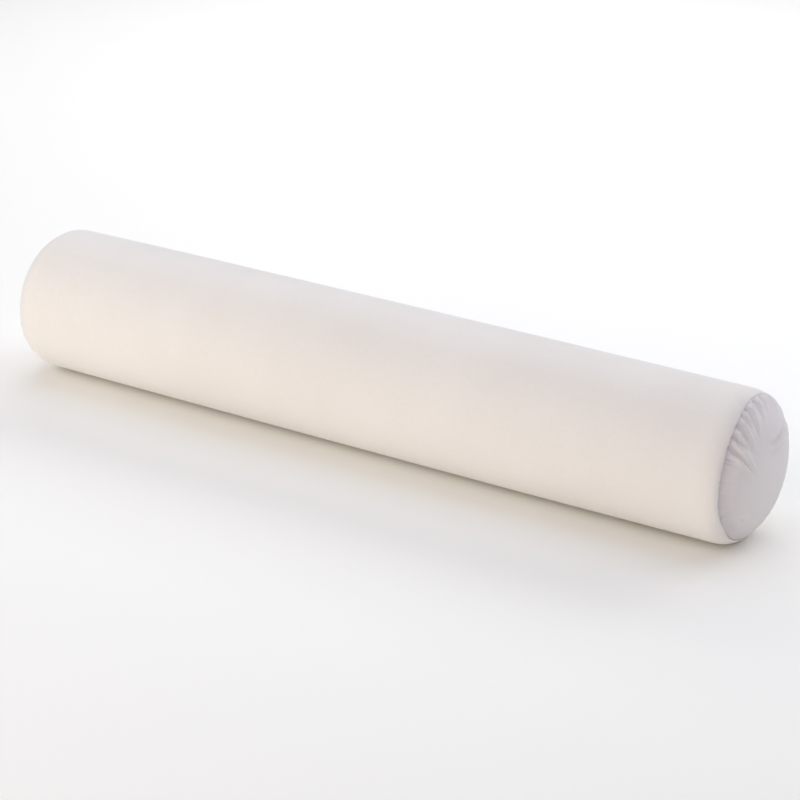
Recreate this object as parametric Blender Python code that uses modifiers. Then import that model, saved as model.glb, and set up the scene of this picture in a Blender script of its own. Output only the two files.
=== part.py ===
"""Covered foam roller, built as it comes apart on a bench.

A firm foam core is rolled in a soft foam wrap with a soft pad on each end. A thin sewn casing holds
that filling, and a removable fabric cover goes over it: a tube panel, two round end panels sewn in
with puckered seams, and a coil zip along the back with its slider, pull tab and stops.

Units are metres, +Z is up. The roller lies along X on the plane z = 0 with the origin under its
middle, its front towards -Y and its zip at the back. Soft layers are flattened a little where they
rest, and pressed in under the zip. Neighbouring layers keep a small gap.
"""

import math

import bmesh
import bpy

# Driving dimensions
OVERALL_LENGTH = 0.916
OUTER_RADIUS = 0.080
SEAM_RADIUS = 0.0735  # outside of the cover at the end seams
END_BULGE = 0.0215  # how far an end panel stands out past its seam
ROLL_IN = 0.022  # length over which the tube panel rounds in to an end seam
END_FLAT_RADIUS = 0.020  # the flat middle of an end panel
BULGE_POWER = 2.24
REST_DEPTH = 0.0013  # how far its own weight flattens the underside
CORE_RADIUS = 0.065
CORE_HALF_LENGTH = 0.4300
CORE_CHAMFER = 0.003
ZIP_ANGLE = math.radians(70)  # from straight up towards +Y, so the zip faces the back
ZIP_HALF_LENGTH = 0.3590

# Thicknesses and clearances
COVER_CLOTH = 0.0012
CASING_CLOTH = 0.0008
GAP = 0.0003
HEM_CLOTH = 0.0009  # an end panel's seam allowance, pressed thin inside the seam
HEM_ROOM = 0.0020  # how much deeper the casing lies under that allowance

# Insets: how deep each surface lies under the outside of the cover
CASING_INSET = COVER_CLOTH + GAP
FILLING_INSET = CASING_INSET + CASING_CLOTH + GAP

# Zip, in its own frame: x along it, s across it, r from the roller's axis
SLOT_HALF_WIDTH = 0.0046
SLOT_MARGIN = 0.0062
TAPE_WIDTH = 0.0134
TAPE_OVERRUN = 0.021
TAPE_INNER_RADIUS = 0.0778
TAPE_THICKNESS = 0.00055
COIL_FROM = 0.0006
COIL_TO = 0.0032
COIL_BOTTOM = 0.07865
COIL_TOP = 0.0802
STOP_LENGTH = 0.0030
BOTTOM_STOP_LENGTH = 0.0047
WING_THICKNESS = 0.0011
WING_HALF_WIDTH = 0.0043
SLIDER_LENGTH = 0.011
SLIDER_TAIL_HALF_WIDTH = 0.0037
UPPER_WING_BOTTOM = COIL_TOP + GAP
LOWER_WING_TOP = TAPE_INNER_RADIUS - GAP
SLIDER_REST_X = -ZIP_HALF_LENGTH + 0.0003 + SLIDER_LENGTH / 2
ARCH_REACH = 0.0034
ARCH_WIRE_RADIUS = 0.00045
PULL_PIVOT_RADIUS = UPPER_WING_BOTTOM + WING_THICKNESS + 0.0008
PULL_THICKNESS = 0.0010
PULL_HALF_WIDTH = 0.0027
PULL_LENGTH = 0.026
PULL_EYE_LENGTH = 0.0046
PULL_EYE_HALF_WIDTH = 0.0016

# The channel pressed into the filling under the zip: depths at its middle and at its shoulders
CHANNEL_DEPTH = 0.0034
SHOULDER_DEPTH = 0.0013
CHANNEL_HALF_LENGTH = 0.393
CHANNEL_FADE = 0.012
SOFT_FROM_RADIUS = 0.070  # the firm core doesn't give

LABEL_WIDTH = 0.030
LABEL_DROP = 0.042
LABEL_THICKNESS = 0.0005
LABEL_X = 0.285

# Where the layers' outlines have their points. Layers share these, so their facets stay parallel.
ROUND_TURNS = 0.0, 0.22, 0.44, 0.66, 0.88, 1.0
FACE_SHARES = 0.0, 0.4, 0.68, 0.84, 0.95

# Worked out
SEGMENTS = 36
STEP_ANGLE = 2 * math.pi / SEGMENTS
AXIS_HEIGHT = OUTER_RADIUS - REST_DEPTH
SEAM_X = OVERALL_LENGTH / 2 - END_BULGE
STRAIGHT_X = SEAM_X - ROLL_IN
BISECTOR = 0.414  # how much of an inset moves the valley at a seam inwards


def ramp(value, start, end):
    """0 before start, 1 after end, and a straight line between."""
    return min(1.0, max(0.0, (value - start) / (end - start)))


def seam_point(inset):
    """(x, r) of the valley where a tube meets an end panel, at an inset under the cover's outside."""
    return SEAM_X - inset, SEAM_RADIUS - BISECTOR * inset


def tube_point(turn, inset, hem_room=0.0):
    """(x, r) on the tube's rounded end. turn is 0 where it starts to round in, and 1 at the seam."""
    inset += hem_room * ramp(turn, ROUND_TURNS[0], ROUND_TURNS[2])
    seam_x, seam_r = seam_point(inset)
    angle = turn * math.pi / 2
    x = STRAIGHT_X + (seam_x - STRAIGHT_X) * math.sin(angle)
    start_r = OUTER_RADIUS - inset
    return x, start_r - (start_r - seam_r) * (1 - math.cos(angle))


def end_point(share, inset, hem_room=0.0):
    """(x, r) on an end panel. share is 0 at the rim of its flat middle, and 1 at the seam."""
    inset += hem_room * ramp(share, FACE_SHARES[2], FACE_SHARES[4])
    seam_x, seam_r = seam_point(inset)
    r = END_FLAT_RADIUS + (seam_r - END_FLAT_RADIUS) * share
    return seam_x + END_BULGE * (1 - share**BULGE_POWER), r


def rounded_end(inset, hem_room=0.0, turns=ROUND_TURNS):
    return [tube_point(turn, inset, hem_room) for turn in turns]


def end_face(inset, hem_room=0.0):
    """An end panel's outline from its rim to its flat middle."""
    return [end_point(share, inset, hem_room) for share in reversed(FACE_SHARES)]


def crossing(outline, x):
    """The point where an outline crosses x. The outline's own x only grows."""
    for (x0, r0), (x1, r1) in zip(outline, outline[1:]):
        if x0 <= x <= x1:
            return x, r0 + (r1 - r0) * (x - x0) / (x1 - x0)
    return outline[-1]


def mirrored(points):
    """The same outline on the other half of the roller, in the opposite order."""
    return [(-x, r) for x, r in reversed(points)]


def clear_scene():
    for obj in list(bpy.data.objects):
        bpy.data.objects.remove(obj)


def new_collection(name):
    collection = bpy.data.collections.new(name)
    bpy.context.scene.collection.children.link(collection)
    return collection


def material(name, colour, roughness, metallic=0.0):
    made = bpy.data.materials.new(name)
    made.use_nodes = True
    shader = made.node_tree.nodes["Principled BSDF"]
    shader.inputs["Base Color"].default_value = (*colour, 1.0)
    shader.inputs["Roughness"].default_value = roughness
    shader.inputs["Metallic"].default_value = metallic
    return made


def empty(name, parent=None, location=(0, 0, 0), rotation_x=0.0):
    made = bpy.data.objects.new(name, None)
    bpy.context.scene.collection.objects.link(made)
    made.location = location
    made.rotation_euler = (rotation_x, 0, 0)
    made.parent = parent
    return made


def add_object(name, mesh, parent, finish=None, location=(0, 0, 0)):
    """A cutter has no finish: it goes in the cutters' collection, and isn't part of the roller."""
    obj = bpy.data.objects.new(name, mesh)
    if finish is None:
        CUTTERS.objects.link(obj)
        obj.hide_render = True
        obj.display_type = "WIRE"
    else:
        PARTS.objects.link(obj)
        mesh.materials.clear()
        mesh.materials.append(finish)
        mesh.set_sharp_from_angle(angle=math.radians(35))
    obj.parent = parent
    obj.location = location
    return obj


def mesh_of(obj):
    """The object's evaluated mesh, welded and facing out. The object itself is removed."""
    graph = bpy.context.evaluated_depsgraph_get()
    mesh = bpy.data.meshes.new_from_object(obj.evaluated_get(graph), depsgraph=graph)
    bpy.data.objects.remove(obj)
    return tidied(mesh)


def tidied(mesh):
    work = bmesh.new()
    work.from_mesh(mesh)
    bmesh.ops.remove_doubles(work, verts=work.verts, dist=1e-6)
    bmesh.ops.recalc_face_normals(work, faces=work.faces)
    work.to_mesh(mesh)
    work.free()
    return mesh


def turned_mesh(name, outline, closed):
    """A mesh turned about the X axis from an outline of (x, r). An open outline starts and ends on the axis."""
    mesh = bpy.data.meshes.new(name)
    edges = [(i, i + 1) for i in range(len(outline) - 1)]
    if closed:
        edges.append((len(outline) - 1, 0))
    mesh.from_pydata([(x, 0, r) for x, r in outline], edges, [])
    obj = bpy.data.objects.new(name + "_outline", mesh)
    bpy.context.scene.collection.objects.link(obj)
    screw = obj.modifiers.new("turn", "SCREW")
    screw.axis = "X"
    screw.steps = SEGMENTS
    screw.render_steps = SEGMENTS
    screw.use_merge_vertices = True
    screw.merge_threshold = 1e-6
    bpy.context.view_layer.update()
    return mesh_of(obj)


def press(mesh, under_zip=True):
    """Flattens a soft layer where the roller rests, and presses it in under the zip."""
    for vertex in mesh.vertices:
        x, y, z = vertex.co
        r = math.hypot(y, z)
        if r < SOFT_FROM_RADIUS:
            continue
        if under_zip:
            steps = abs(math.remainder(math.atan2(y, z) - ZIP_ANGLE, 2 * math.pi)) / STEP_ANGLE
            depth = CHANNEL_DEPTH + (SHOULDER_DEPTH - CHANNEL_DEPTH) * ramp(steps, 0, 1)
            depth *= 1 - ramp(steps, 1, 2)
            depth *= 1 - ramp(abs(x), CHANNEL_HALF_LENGTH, CHANNEL_HALF_LENGTH + CHANNEL_FADE)
            y *= 1 - depth / r
            z *= 1 - depth / r
        vertex.co = x, y, max(z, REST_DEPTH - r)
    return split_twisted(mesh)


def split_twisted(mesh):
    """Splits faces that aren't flat along their shorter diagonal, so every layer splits the same way."""
    work = bmesh.new()
    work.from_mesh(mesh)
    twisted = []
    for face in work.faces:
        normal = face.normal
        height = face.verts[0].co.dot(normal)
        if any(abs(vertex.co.dot(normal) - height) > 1e-6 for vertex in face.verts):
            twisted.append(face)
    bmesh.ops.triangulate(work, faces=twisted, quad_method="SHORT_EDGE")
    work.to_mesh(mesh)
    work.free()
    return mesh


def cut(obj, cutter, operation="DIFFERENCE"):
    boolean = obj.modifiers.new(operation.lower(), "BOOLEAN")
    boolean.operation = operation
    boolean.object = cutter


def box_mesh(name, low, high, slices=1):
    """A box between two corners, sliced into equal parts along Y."""
    work = bmesh.new()
    bmesh.ops.create_cube(work, size=1)
    across = [e for e in work.edges if abs(e.verts[0].co.y - e.verts[1].co.y) > 0.5]
    if slices > 1:
        bmesh.ops.subdivide_edges(work, edges=across, cuts=slices - 1, use_grid_fill=True)
    for vertex in work.verts:
        vertex.co = [a + (b - a) * (c + 0.5) for a, b, c in zip(low, high, vertex.co)]
    mesh = bpy.data.meshes.new(name)
    work.to_mesh(mesh)
    work.free()
    return mesh


def bent_strip_mesh(name, along, across, radii):
    """A strip that follows the roller's round: a box in (x, s, r), wrapped about the X axis. s runs down."""
    slices = max(2, round((across[1] - across[0]) / 0.0034))
    mesh = box_mesh(name, *zip(along, across, radii), slices=slices)
    for vertex in mesh.vertices:
        x, s, r = vertex.co
        angle = s / OUTER_RADIUS
        vertex.co = x, r * math.sin(angle), r * math.cos(angle)
    return tidied(mesh)


def outline_mesh(name, points, bottom, top):
    """A plate with a flat outline of (x, y), from height bottom to height top."""
    curve = bpy.data.curves.new(name, "CURVE")
    curve.dimensions = "2D"
    curve.fill_mode = "BOTH"
    curve.extrude = (top - bottom) / 2
    loops = points if isinstance(points[0][0], tuple) else [points]
    for loop in loops:
        spline = curve.splines.new("POLY")
        spline.points.add(len(loop) - 1)
        for target, (x, y) in zip(spline.points, loop):
            target.co = x, y, 0, 1
        spline.use_cyclic_u = True
    obj = bpy.data.objects.new(name + "_outline", curve)
    bpy.context.scene.collection.objects.link(obj)
    bpy.context.view_layer.update()
    mesh = mesh_of(obj)
    for vertex in mesh.vertices:
        vertex.co.z += (top + bottom) / 2
    return mesh


def wire_mesh(name, points, radius):
    """A round wire through the points, with flat ends."""
    curve = bpy.data.curves.new(name, "CURVE")
    curve.dimensions = "3D"
    curve.bevel_depth = radius
    curve.bevel_resolution = 2
    curve.use_fill_caps = True
    spline = curve.splines.new("POLY")
    spline.points.add(len(points) - 1)
    for target, point in zip(spline.points, points):
        target.co = *point, 1
    obj = bpy.data.objects.new(name + "_wire", curve)
    bpy.context.scene.collection.objects.link(obj)
    bpy.context.view_layer.update()
    return mesh_of(obj)


def make_core(axis, foam):
    """The firm foam roll that carries the load."""
    bpy.ops.mesh.primitive_cylinder_add(
        vertices=SEGMENTS, radius=CORE_RADIUS, depth=2 * CORE_HALF_LENGTH, rotation=(0, math.pi / 2, 0)
    )
    obj = bpy.context.active_object
    bpy.ops.object.transform_apply(location=False, rotation=True, scale=False)
    for collection in obj.users_collection:
        collection.objects.unlink(obj)
    PARTS.objects.link(obj)
    obj.name = "core_roll"
    obj.data.materials.append(foam)
    chamfer = obj.modifiers.new("chamfer", "BEVEL")
    chamfer.width = CORE_CHAMFER
    chamfer.segments = 1
    chamfer.limit_method = "ANGLE"
    obj.parent = axis


def make_wrap(axis, foam):
    """The sheet of soft foam rolled round the core. Its ends round in with the casing."""
    inner = CORE_RADIUS + GAP
    whole = rounded_end(FILLING_INSET, HEM_ROOM)
    outer = [p for p in whole if p[0] < CORE_HALF_LENGTH] + [crossing(whole, CORE_HALF_LENGTH)]
    channel_end = [
        (CHANNEL_HALF_LENGTH, OUTER_RADIUS - FILLING_INSET),
        (CHANNEL_HALF_LENGTH + CHANNEL_FADE, OUTER_RADIUS - FILLING_INSET),
    ]
    half = channel_end + outer + [(CORE_HALF_LENGTH, inner)]
    mesh = press(turned_mesh("padding_wrap", mirrored(half) + half, closed=True))
    add_object("padding_wrap", mesh, axis, foam)


def make_end_pad(name, side, axis, foam):
    """The domed soft pad between the core's end and an end panel."""
    back = CORE_HALF_LENGTH + GAP
    whole = rounded_end(FILLING_INSET, HEM_ROOM)
    rim = [crossing(whole, back)] + [p for p in whole if p[0] > back]
    face = end_face(FILLING_INSET, HEM_ROOM)
    outline = [(back, 0)] + rim + face + [(face[-1][0], 0)]
    outline = [(side * x, r) for x, r in outline]
    add_object(name, press(turned_mesh(name, outline, closed=False)), axis, foam)


def make_casing_tube(axis, cloth):
    """The casing's tube: a thin sewn sleeve that keeps the filling together."""
    outer = rounded_end(CASING_INSET, HEM_ROOM, ROUND_TURNS[:-1])
    inner = rounded_end(CASING_INSET + CASING_CLOTH, HEM_ROOM, ROUND_TURNS[:-1])
    ends = [CHANNEL_HALF_LENGTH, CHANNEL_HALF_LENGTH + CHANNEL_FADE]
    outer = [(x, OUTER_RADIUS - CASING_INSET) for x in ends] + outer
    inner = [(x, OUTER_RADIUS - CASING_INSET - CASING_CLOTH) for x in ends] + inner
    outline = mirrored(outer) + outer + list(reversed(inner)) + list(reversed(mirrored(inner)))
    mesh = press(turned_mesh("casing_tube", outline, closed=True))
    add_object("casing_tube", mesh, axis, cloth)


def make_casing_end(name, side, axis, cloth):
    """The casing's round end panel."""
    outer = list(reversed(end_face(CASING_INSET, HEM_ROOM)))
    inner = end_face(CASING_INSET + CASING_CLOTH, HEM_ROOM)
    outline = [(outer[0][0], 0)] + outer + inner + [(inner[-1][0], 0)]
    outline = [(side * x, r) for x, r in outline]
    add_object(name, press(turned_mesh(name, outline, closed=False)), axis, cloth)


def make_cover_tube(axis, zip_frame, cloth):
    """The cover's tube panel, with a slot along the back between the zip's two hemmed lips."""
    outer = rounded_end(0)
    inner = rounded_end(COVER_CLOTH)
    outline = mirrored(outer) + outer + list(reversed(inner)) + list(reversed(mirrored(inner)))
    mesh = press(turned_mesh("cover_tube", outline, closed=True), under_zip=False)
    tube = add_object("cover_tube", mesh, axis, cloth)
    reach = ZIP_HALF_LENGTH + SLOT_MARGIN
    low = -reach, -SLOT_HALF_WIDTH, OUTER_RADIUS - 4 * COVER_CLOTH
    high = reach, SLOT_HALF_WIDTH, OUTER_RADIUS + 4 * COVER_CLOTH
    slot = add_object("slot_cutter", box_mesh("slot_cutter", low, high), zip_frame)
    cut(tube, slot)


def make_cover_end(name, side, axis, cloth):
    """A round end panel of the cover. Its seam allowance is turned back inside the tube."""
    face = list(reversed(end_face(0))) + [end_point(0.975, 0)]
    fold = [(SEAM_X - 0.0016, SEAM_RADIUS - 0.0012)]
    hem_turns = ROUND_TURNS[3:5]
    hem_out = list(reversed(rounded_end(CASING_INSET, turns=hem_turns)))
    hem_in = rounded_end(CASING_INSET + HEM_CLOTH, turns=hem_turns)
    root = [(SEAM_X - 0.0026, SEAM_RADIUS - 0.0019)]
    back = end_face(COVER_CLOTH)
    outline = [(face[0][0], 0)] + face + fold + hem_out + hem_in + root + back + [(back[-1][0], 0)]
    outline = [(side * x, r) for x, r in outline]
    mesh = press(turned_mesh(name, outline, closed=False), under_zip=False)
    add_object(name, mesh, axis, cloth)


def make_zip_chain(zip_frame, tape, nylon, metal):
    """Two tapes with their coils, a stop on each tape at the closed end, and one stop at the other."""
    tape_reach = ZIP_HALF_LENGTH + TAPE_OVERRUN
    tape_radii = TAPE_INNER_RADIUS, TAPE_INNER_RADIUS + TAPE_THICKNESS
    stop_from = -ZIP_HALF_LENGTH - GAP - STOP_LENGTH
    for name, side in (("upper", -1), ("lower", 1)):
        edges = sorted((side * COIL_FROM, side * (COIL_FROM + TAPE_WIDTH)))
        mesh = bent_strip_mesh(f"zip_tape_{name}", (-tape_reach, tape_reach), edges, tape_radii)
        add_object(f"zip_tape_{name}", mesh, zip_frame, tape)
        near, far = sorted((side * COIL_FROM, side * COIL_TO))
        low = -ZIP_HALF_LENGTH, near, COIL_BOTTOM
        high = ZIP_HALF_LENGTH, far, COIL_TOP
        coil = add_object(f"zip_coil_{name}", box_mesh(f"zip_coil_{name}", low, high), zip_frame, nylon)
        round_edges(coil, 0.0005)
        low = stop_from, near, COIL_BOTTOM
        high = stop_from + STOP_LENGTH, far, COIL_TOP
        stop = add_object(f"zip_top_stop_{name}", box_mesh(f"zip_top_stop_{name}", low, high), zip_frame, metal)
        round_edges(stop, 0.0004)
    low = ZIP_HALF_LENGTH + GAP, -COIL_TO, COIL_BOTTOM
    high = ZIP_HALF_LENGTH + GAP + BOTTOM_STOP_LENGTH, COIL_TO, COIL_TOP
    stop = add_object("zip_bottom_stop", box_mesh("zip_bottom_stop", low, high), zip_frame, metal)
    round_edges(stop, 0.0005)


def round_edges(obj, width, segments=1):
    bevel = obj.modifiers.new("round", "BEVEL")
    bevel.width = width
    bevel.segments = segments
    bevel.limit_method = "ANGLE"


def make_slider(zip_frame, metal):
    """The slider: two wings round the coils, side walls, the wedge between, and the arch for the pull."""
    seat = empty("slider_seat", zip_frame, (SLIDER_REST_X, 0, 0))
    half = SLIDER_LENGTH / 2
    shoulder = 0.0016
    outline = [
        (-half + shoulder, -WING_HALF_WIDTH),
        (0, -WING_HALF_WIDTH),
        (half, -SLIDER_TAIL_HALF_WIDTH),
        (half, SLIDER_TAIL_HALF_WIDTH),
        (0, WING_HALF_WIDTH),
        (-half + shoulder, WING_HALF_WIDTH),
        (-half, WING_HALF_WIDTH - shoulder),
        (-half, -WING_HALF_WIDTH + shoulder),
    ]
    overlap = 0.0002
    top_of_wing = UPPER_WING_BOTTOM + WING_THICKNESS
    upper = outline_mesh("zip_slider", outline, UPPER_WING_BOTTOM, top_of_wing)
    slider = add_object("zip_slider", upper, seat, metal)
    lower = outline_mesh("slider_lower_wing", outline, LOWER_WING_TOP - WING_THICKNESS, LOWER_WING_TOP)
    cut(slider, add_object("slider_lower_wing", lower, seat), "UNION")
    web = box_mesh(
        "slider_web",
        (-half + 0.0012, -0.0003, LOWER_WING_TOP - overlap),
        (-half + 0.0062, 0.0003, UPPER_WING_BOTTOM + overlap),
    )
    cut(slider, add_object("slider_web", web, seat), "UNION")
    wall_bottom = TAPE_INNER_RADIUS + TAPE_THICKNESS + GAP
    for name, side in (("front", -1), ("back", 1)):
        near, far = sorted((side * (COIL_TO + GAP), side * (WING_HALF_WIDTH - 0.0001)))
        low = -half + shoulder, near, wall_bottom
        high = 0.0, far, UPPER_WING_BOTTOM + overlap
        wall = add_object(f"slider_wall_{name}", box_mesh(f"slider_wall_{name}", low, high), seat)
        cut(slider, wall, "UNION")
    arch_top = PULL_PIVOT_RADIUS + PULL_THICKNESS / 2 + GAP + ARCH_WIRE_RADIUS
    foot = top_of_wing - overlap
    arch = [
        (-ARCH_REACH, 0, foot),
        (-ARCH_REACH, 0, arch_top - 0.0007),
        (-ARCH_REACH + 0.0007, 0, arch_top),
        (ARCH_REACH - 0.0007, 0, arch_top),
        (ARCH_REACH, 0, arch_top - 0.0007),
        (ARCH_REACH, 0, foot),
    ]
    cut(slider, add_object("slider_arch", wire_mesh("slider_arch", arch, ARCH_WIRE_RADIUS), seat), "UNION")
    return seat


def make_pull(seat, metal):
    """The pull tab. Its eye goes under the slider's arch, and the joint's axis runs through the eye's bar."""
    pivot = empty("pull_pivot", seat, (0, 0, PULL_PIVOT_RADIUS))
    bar = PULL_THICKNESS / 2
    corner = 0.0016
    tail = 0.0022  # half the width just past the eye
    body = [
        (-bar, -PULL_HALF_WIDTH),
        (PULL_EYE_LENGTH + 0.0016, -PULL_HALF_WIDTH),
        (PULL_EYE_LENGTH + 0.0040, -tail),
        (PULL_LENGTH - corner, -PULL_HALF_WIDTH),
        (PULL_LENGTH, -PULL_HALF_WIDTH + corner),
    ]
    body += [(x, -y) for x, y in reversed(body)]
    eye = [
        (bar, -PULL_EYE_HALF_WIDTH),
        (PULL_EYE_LENGTH, -PULL_EYE_HALF_WIDTH),
        (PULL_EYE_LENGTH, PULL_EYE_HALF_WIDTH),
        (bar, PULL_EYE_HALF_WIDTH),
    ]
    mesh = outline_mesh("zip_pull", [tuple(body), tuple(eye)], -PULL_THICKNESS / 2, PULL_THICKNESS / 2)
    add_object("zip_pull", mesh, pivot, metal)


def make_label(zip_frame, satin):
    """A blank care label, caught in the stitching of the zip's lower lip and lying on the cover."""
    bottom = OUTER_RADIUS + GAP
    mesh = bent_strip_mesh(
        "care_label",
        (LABEL_X - LABEL_WIDTH / 2, LABEL_X + LABEL_WIDTH / 2),
        (SLOT_HALF_WIDTH + 0.0004, SLOT_HALF_WIDTH + LABEL_DROP),
        (bottom, bottom + LABEL_THICKNESS),
    )
    add_object("care_label", mesh, zip_frame, satin)


def main():
    cover_cloth = material("cover_cloth", (0.86, 0.83, 0.80), 0.85)
    casing_cloth = material("casing_cloth", (0.80, 0.79, 0.76), 0.9)
    firm_foam = material("firm_foam", (0.55, 0.60, 0.66), 0.95)
    soft_foam = material("soft_foam", (0.85, 0.83, 0.74), 0.95)
    tape_cloth = material("tape_cloth", (0.84, 0.82, 0.79), 0.8)
    nylon = material("nylon", (0.86, 0.85, 0.82), 0.45)
    metal = material("nickel", (0.72, 0.71, 0.69), 0.3, metallic=1.0)
    satin = material("satin", (0.90, 0.90, 0.89), 0.5)

    axis = empty("roller_axis", location=(0, 0, AXIS_HEIGHT))
    zip_frame = empty("zip_frame", axis, rotation_x=-ZIP_ANGLE)

    make_core(axis, firm_foam)
    make_wrap(axis, soft_foam)
    make_casing_tube(axis, casing_cloth)
    make_cover_tube(axis, zip_frame, cover_cloth)
    for name, side in (("left", -1), ("right", 1)):
        make_end_pad(f"end_pad_{name}", side, axis, soft_foam)
        make_casing_end(f"casing_end_{name}", side, axis, casing_cloth)
        make_cover_end(f"cover_end_{name}", side, axis, cover_cloth)
    make_zip_chain(zip_frame, tape_cloth, nylon, metal)
    seat = make_slider(zip_frame, metal)
    make_pull(seat, metal)
    make_label(zip_frame, satin)


clear_scene()
PARTS = new_collection("foam_roller")
CUTTERS = new_collection("cutters")
main()
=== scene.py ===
"""The looks of the covered foam roller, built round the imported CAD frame.

The cover is sewn from a tube panel and two gathered end panels, which are cloth simulations over
the roller's domed ends. The zip at the back has coils, tapes, a slider and a pull tab of its own.
Lengths are in metres. s is the distance round the roller from the zip's middle line, towards the
underside, and r is the distance from the roller's axis.
"""

import math

import bmesh
import bpy
import numpy as np
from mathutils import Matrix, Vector, noise
from mathutils.bvhtree import BVHTree


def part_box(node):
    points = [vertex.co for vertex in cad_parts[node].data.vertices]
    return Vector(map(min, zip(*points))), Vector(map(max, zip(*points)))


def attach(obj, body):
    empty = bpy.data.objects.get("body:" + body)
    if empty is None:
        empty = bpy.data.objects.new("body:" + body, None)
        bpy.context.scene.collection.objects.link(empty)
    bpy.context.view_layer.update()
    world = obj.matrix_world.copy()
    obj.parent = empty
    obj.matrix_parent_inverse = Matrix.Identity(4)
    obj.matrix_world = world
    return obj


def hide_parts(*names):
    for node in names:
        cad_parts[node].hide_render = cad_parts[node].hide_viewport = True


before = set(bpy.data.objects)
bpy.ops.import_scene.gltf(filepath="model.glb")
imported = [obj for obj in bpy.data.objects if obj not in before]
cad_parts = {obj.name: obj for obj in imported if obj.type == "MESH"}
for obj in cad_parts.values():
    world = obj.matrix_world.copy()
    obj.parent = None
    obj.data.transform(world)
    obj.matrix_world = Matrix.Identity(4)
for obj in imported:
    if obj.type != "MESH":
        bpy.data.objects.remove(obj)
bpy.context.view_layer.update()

# The roller, as the CAD has it
TUBE_LOW, TUBE_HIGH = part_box("cover_tube")
RADIUS = (TUBE_HIGH.y - TUBE_LOW.y) / 2
AXIS_Z = TUBE_HIGH.z - RADIUS
SEAM_X = TUBE_HIGH.x
END_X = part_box("cover_end_right")[1].x
BULGE = END_X - SEAM_X
SEAM_RADIUS = 0.0713
ROLL_IN = 0.022
STRAIGHT_X = SEAM_X - ROLL_IN
ZIP_ANGLE = math.radians(70)  # from straight up, towards the back
ZIP_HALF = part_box("zip_coil_upper")[1].x
ROLLER, SLIDER, PULL = "roller", "slider", "pull_tab"

# The cover's cloth
BARREL_MIDDLE = 0.0005  # the tube swells this much in its middle
BARREL_END = -0.0005
CLOTH = 0.00045
HEM_DEPTH = 0.00105
HEM_WIDTH = 0.009
HEM_CLEAR = 0.0114  # from a lip's edge to the plain cloth past its hem
HEM_HELD = 0.002  # turned-in cloth nearer to the edge than this keeps its width past the zip's ends
HEM_LINES = 0.0022, 0.0074  # the two rows of stitches, from a lip's edge
LIP = 0.0041  # half the gap between the zip's lips
SEAM_GAP = 0.00003  # and half the gap where they are sewn into a plain seam
LIP_REACH = ZIP_HALF + 0.0045
LIP_CLOSE = 0.009  # the length over which they come together
RIM_EASE = 0.0009  # how much wider the cover's end seams are than the filling's
BACK_EASE = 0.0046  # how much wider still they are where the cloth is drawn tight at the back
PULLED_IN = 0.0025  # how far the gathers pull them in at the lower front
SEAM_SLANT = 0.0055  # how far the gathers draw them back at the top
SHOULDER = 0.0024  # how far the end panels slope down towards their seams
VALLEY = 0.0003  # and how far they dip beside them
PUCKER_RATE = 11.0  # how close together the puckers come
PANEL_CLEAR = 0.0004  # the least gap between an end panel and the casing
# Where those come round an end seam: (degrees from straight up towards the back, spread)
TIGHT_BACK, TIGHT_BELOW = (40, 52), (180, 30)
PULLED_IN_AT = -127, 12
SLANT_AT = 14, 38
# (degrees from straight up towards the back, spread, amount)
RIGHT_FULLNESS = (-34, 38, 1.1), (35, 30, 0.35), (-118, 18, 0.9)
LEFT_FULLNESS = (-128, 58, 1.0), (60, 30, 0.35), (-20, 30, 0.4)


def smooth(value, start=0.0, end=1.0):
    """0 before start and 1 after end, with a smooth step between."""
    t = np.clip((value - start) / (end - start), 0.0, 1.0)
    return t * t * (3 - 2 * t)


def around(x, s, r):
    """The point at x, a distance s round the roller from the zip, at radius r."""
    angle = ZIP_ANGLE + s / RADIUS
    return Vector((x, r * math.sin(angle), AXIS_Z + r * math.cos(angle)))


# ---------------------------------------------------------------- objects and meshes


def add_object(name, mesh, body, finish, replaced=()):
    """A finished piece: it rides on its body, and may stand for CAD nodes."""
    obj = bpy.data.objects.new(name, mesh)
    bpy.context.scene.collection.objects.link(obj)
    mesh.materials.clear()
    mesh.materials.append(finish)
    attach(obj, body)
    if replaced:
        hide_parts(*replaced)
    return obj


def grid_mesh(name, points, wrap_rows=False, wrap_cols=False):
    """A mesh of quads over points[row][col]."""
    rows, cols = len(points), len(points[0])
    verts = [tuple(p) for row in points for p in row]
    faces = []
    for i in range(rows if wrap_rows else rows - 1):
        for j in range(cols if wrap_cols else cols - 1):
            a, b = i, (i + 1) % rows
            c, d = j, (j + 1) % cols
            faces.append((a * cols + c, a * cols + d, b * cols + d, b * cols + c))
    mesh = bpy.data.meshes.new(name)
    mesh.from_pydata(verts, [], faces)
    mesh.shade_smooth()
    return mesh


def fix_normals(mesh):
    work = bmesh.new()
    work.from_mesh(mesh)
    bmesh.ops.remove_doubles(work, verts=work.verts, dist=1e-7)
    bmesh.ops.recalc_face_normals(work, faces=work.faces)
    work.to_mesh(mesh)
    work.free()
    mesh.shade_smooth()
    return mesh


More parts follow.
